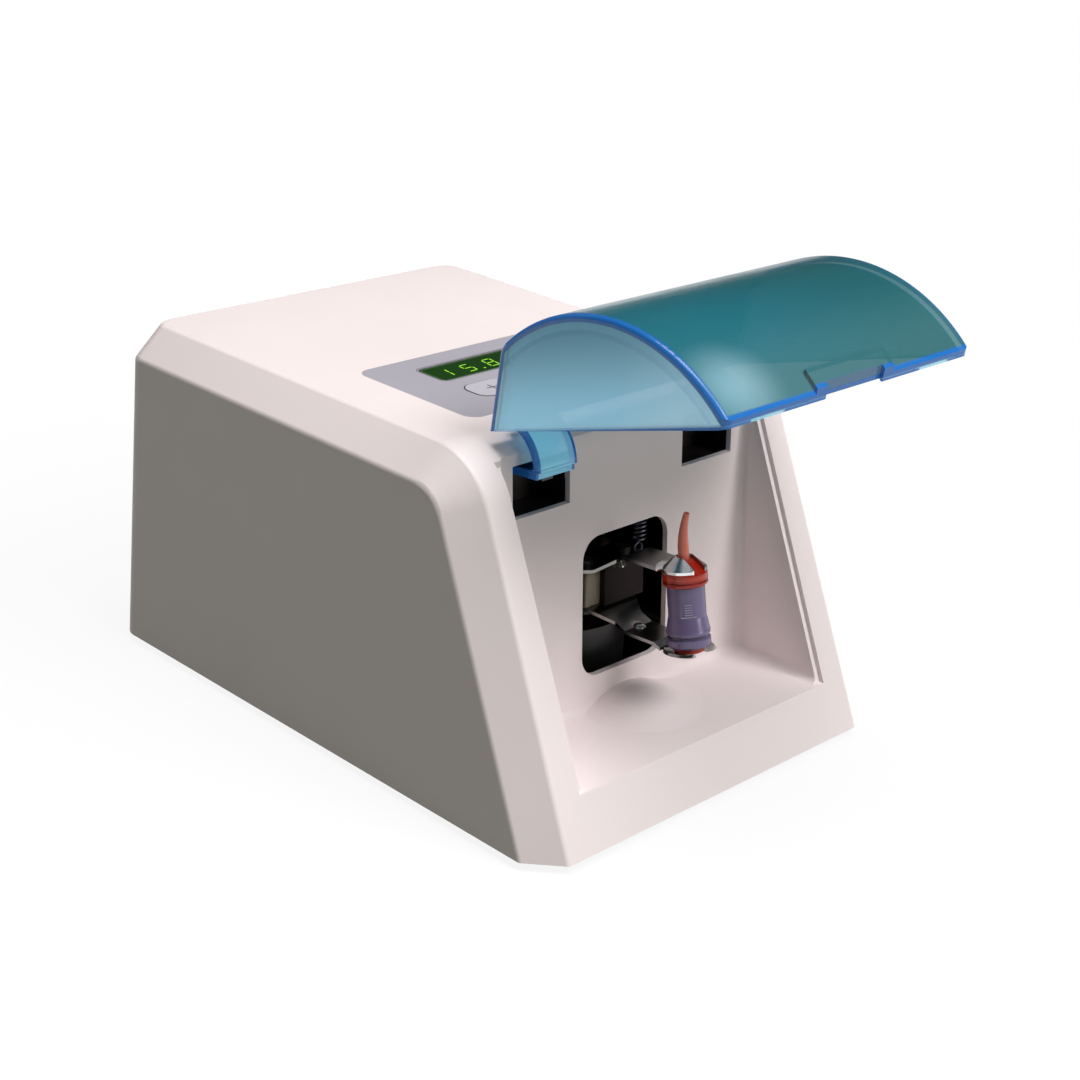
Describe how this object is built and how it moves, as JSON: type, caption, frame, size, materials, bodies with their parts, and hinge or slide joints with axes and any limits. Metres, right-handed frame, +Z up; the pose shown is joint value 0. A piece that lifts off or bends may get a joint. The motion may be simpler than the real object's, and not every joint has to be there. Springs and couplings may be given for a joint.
{
  "type": "dental amalgamator",
  "caption": "Bench mixer that shakes a dental capsule: wedge-shaped casing, recessed mixing bay, swing-up tinted hood, capsule fork, timer panel.",
  "frame": {"origin": "under the middle of the whole machine with its hood open (its rest pose), on the plane its four feet stand on", "axes": "+X to the machine's own right as seen by someone facing its front, +Y from the front to the rear, +Z up; the hood is at rest in its open position"},
  "size_m": [0.17, 0.2676, 0.1773],
  "materials": {
    "casing_white": "satin, finely textured",
    "hood_blue": "glossy tinted acrylic",
    "membrane_grey": "matt printed film",
    "lens_green": "glossy dark green window",
    "key_grey": "matt",
    "pocket_black": "matt",
    "steel": "satin",
    "spring_steel": "bright drawn wire",
    "prong_steel": "dark blued, bright at its edges",
    "black_steel": "black oxide",
    "hub_cream": "satin",
    "spacer_brown": "matt",
    "capsule_violet": "glossy",
    "capsule_orange": "glossy, slightly see-through",
    "plunger_red": "glossy",
    "rubber_black": "matt",
    "plate_steel": "zinc-plated sheet",
    "board_green": "solder mask",
    "black_plastic": "moulded",
    "core_iron": "stacked sheet",
    "copper": "enamelled wire",
    "bronze": "sintered",
    "ferrite": "sintered",
    "carbon": "carbon",
    "aluminium": "turned",
    "ribbon_grey": "ribbed flat cable"
  },
  "bodies": {
    "base": {"casing_cover": "casing_white", "base_plate": "plate_steel", "rubber_feet": "rubber_black", "base_screws": "steel", "hinge_pin_left": "steel", "hinge_pin_right": "steel", "hinge_pocket_left": "pocket_black", "hinge_pocket_right": "pocket_black", "pocket_screws": "steel", "hood_sensor": "black_plastic", "control_overlay": "membrane_grey", "display_lens": "lens_green", "display_module": "black_plastic", "control_board": "board_green", "board_screws": "steel", "key_switches": "black_plastic", "motor_can": "black_steel", "motor_end_cap": "aluminium", "motor_magnets": "ferrite", "motor_bushes": "bronze", "motor_brushes": "carbon", "motor_bracket": "plate_steel", "motor_mounts": "rubber_black", "motor_screws": "steel", "fork_spring_left": "spring_steel", "fork_spring_right": "spring_steel", "spring_bar": "steel", "power_board": "board_green", "board_standoffs": "steel", "transformer_core": "core_iron", "transformer_coil": "copper", "capacitors": "aluminium", "power_inlet": "black_plastic", "inlet_pins": "steel", "switch_frame": "black_plastic", "ribbon_cable": "ribbon_grey"},
    "hood": {"hood": "hood_blue", "hood_magnet": "ferrite"},
    "rotor": {"motor_shaft": "steel", "rotor_core": "core_iron", "commutator": "copper", "skew_sleeve": "steel", "counterweight": "black_steel"},
    "fork": {"fork_hub": "hub_cream", "hub_bearing_outer": "steel", "hub_bearing_inner": "steel", "bearing_balls": "steel", "bearing_retainer": "steel", "upper_prong": "prong_steel", "lower_prong": "prong_steel", "prong_spacer": "spacer_brown", "prong_screws": "black_steel", "capsule_body": "capsule_violet", "capsule_cap": "capsule_orange", "capsule_plunger": "plunger_red"},
    "minus_key": {"minus_key": "key_grey"},
    "plus_key": {"plus_key": "key_grey"},
    "start_key": {"start_key": "key_grey"},
    "power_rocker": {"power_rocker": "black_plastic"},
    "fuse_drawer": {"fuse_drawer": "black_plastic"}
  },
  "joints": [
    {"name": "hood_hinge", "type": "hinge", "parent": "base", "child": "hood", "pos_m": [0, -0.03561, 0.1139], "axis": [1, 0, 0], "range_deg": [0, 83.6]},
    {"name": "motor_spin", "type": "hinge", "parent": "base", "child": "rotor", "pos_m": [0, -0.01533, 0.0592], "axis": [0, 0, 1], "continuous": true},
    {"name": "fork_rock", "type": "hinge", "parent": "base", "child": "fork", "pos_m": [0, -0.01533, 0.0592], "axis": [-1, 0, 0], "range_deg": [-8, 0], "stiffness_Nm_per_rad": 0.12, "springref_deg": 11.46, "deforming": ["fork_spring_left", "fork_spring_right"]},
    {"name": "minus_key_press", "type": "slide", "parent": "base", "child": "minus_key", "axis": [0, 0, -1], "range_m": [0, 0.0003], "stiffness_N_per_m": 400, "springref_m": -0.0006},
    {"name": "plus_key_press", "type": "slide", "parent": "base", "child": "plus_key", "axis": [0, 0, -1], "range_m": [0, 0.0003], "stiffness_N_per_m": 400, "springref_m": -0.0006},
    {"name": "start_key_press", "type": "slide", "parent": "base", "child": "start_key", "axis": [0, 0, -1], "range_m": [0, 0.0003], "stiffness_N_per_m": 400, "springref_m": -0.0006},
    {"name": "power_rocker_tip", "type": "hinge", "parent": "base", "child": "power_rocker", "pos_m": [0.008, 0.12872, 0.03694], "axis": [1, 0, 0], "range_deg": [0, 18]},
    {"name": "fuse_drawer_slide", "type": "slide", "parent": "base", "child": "fuse_drawer", "axis": [0, 0.999, 0.0454], "range_m": [0, 0.014]}
  ]
}
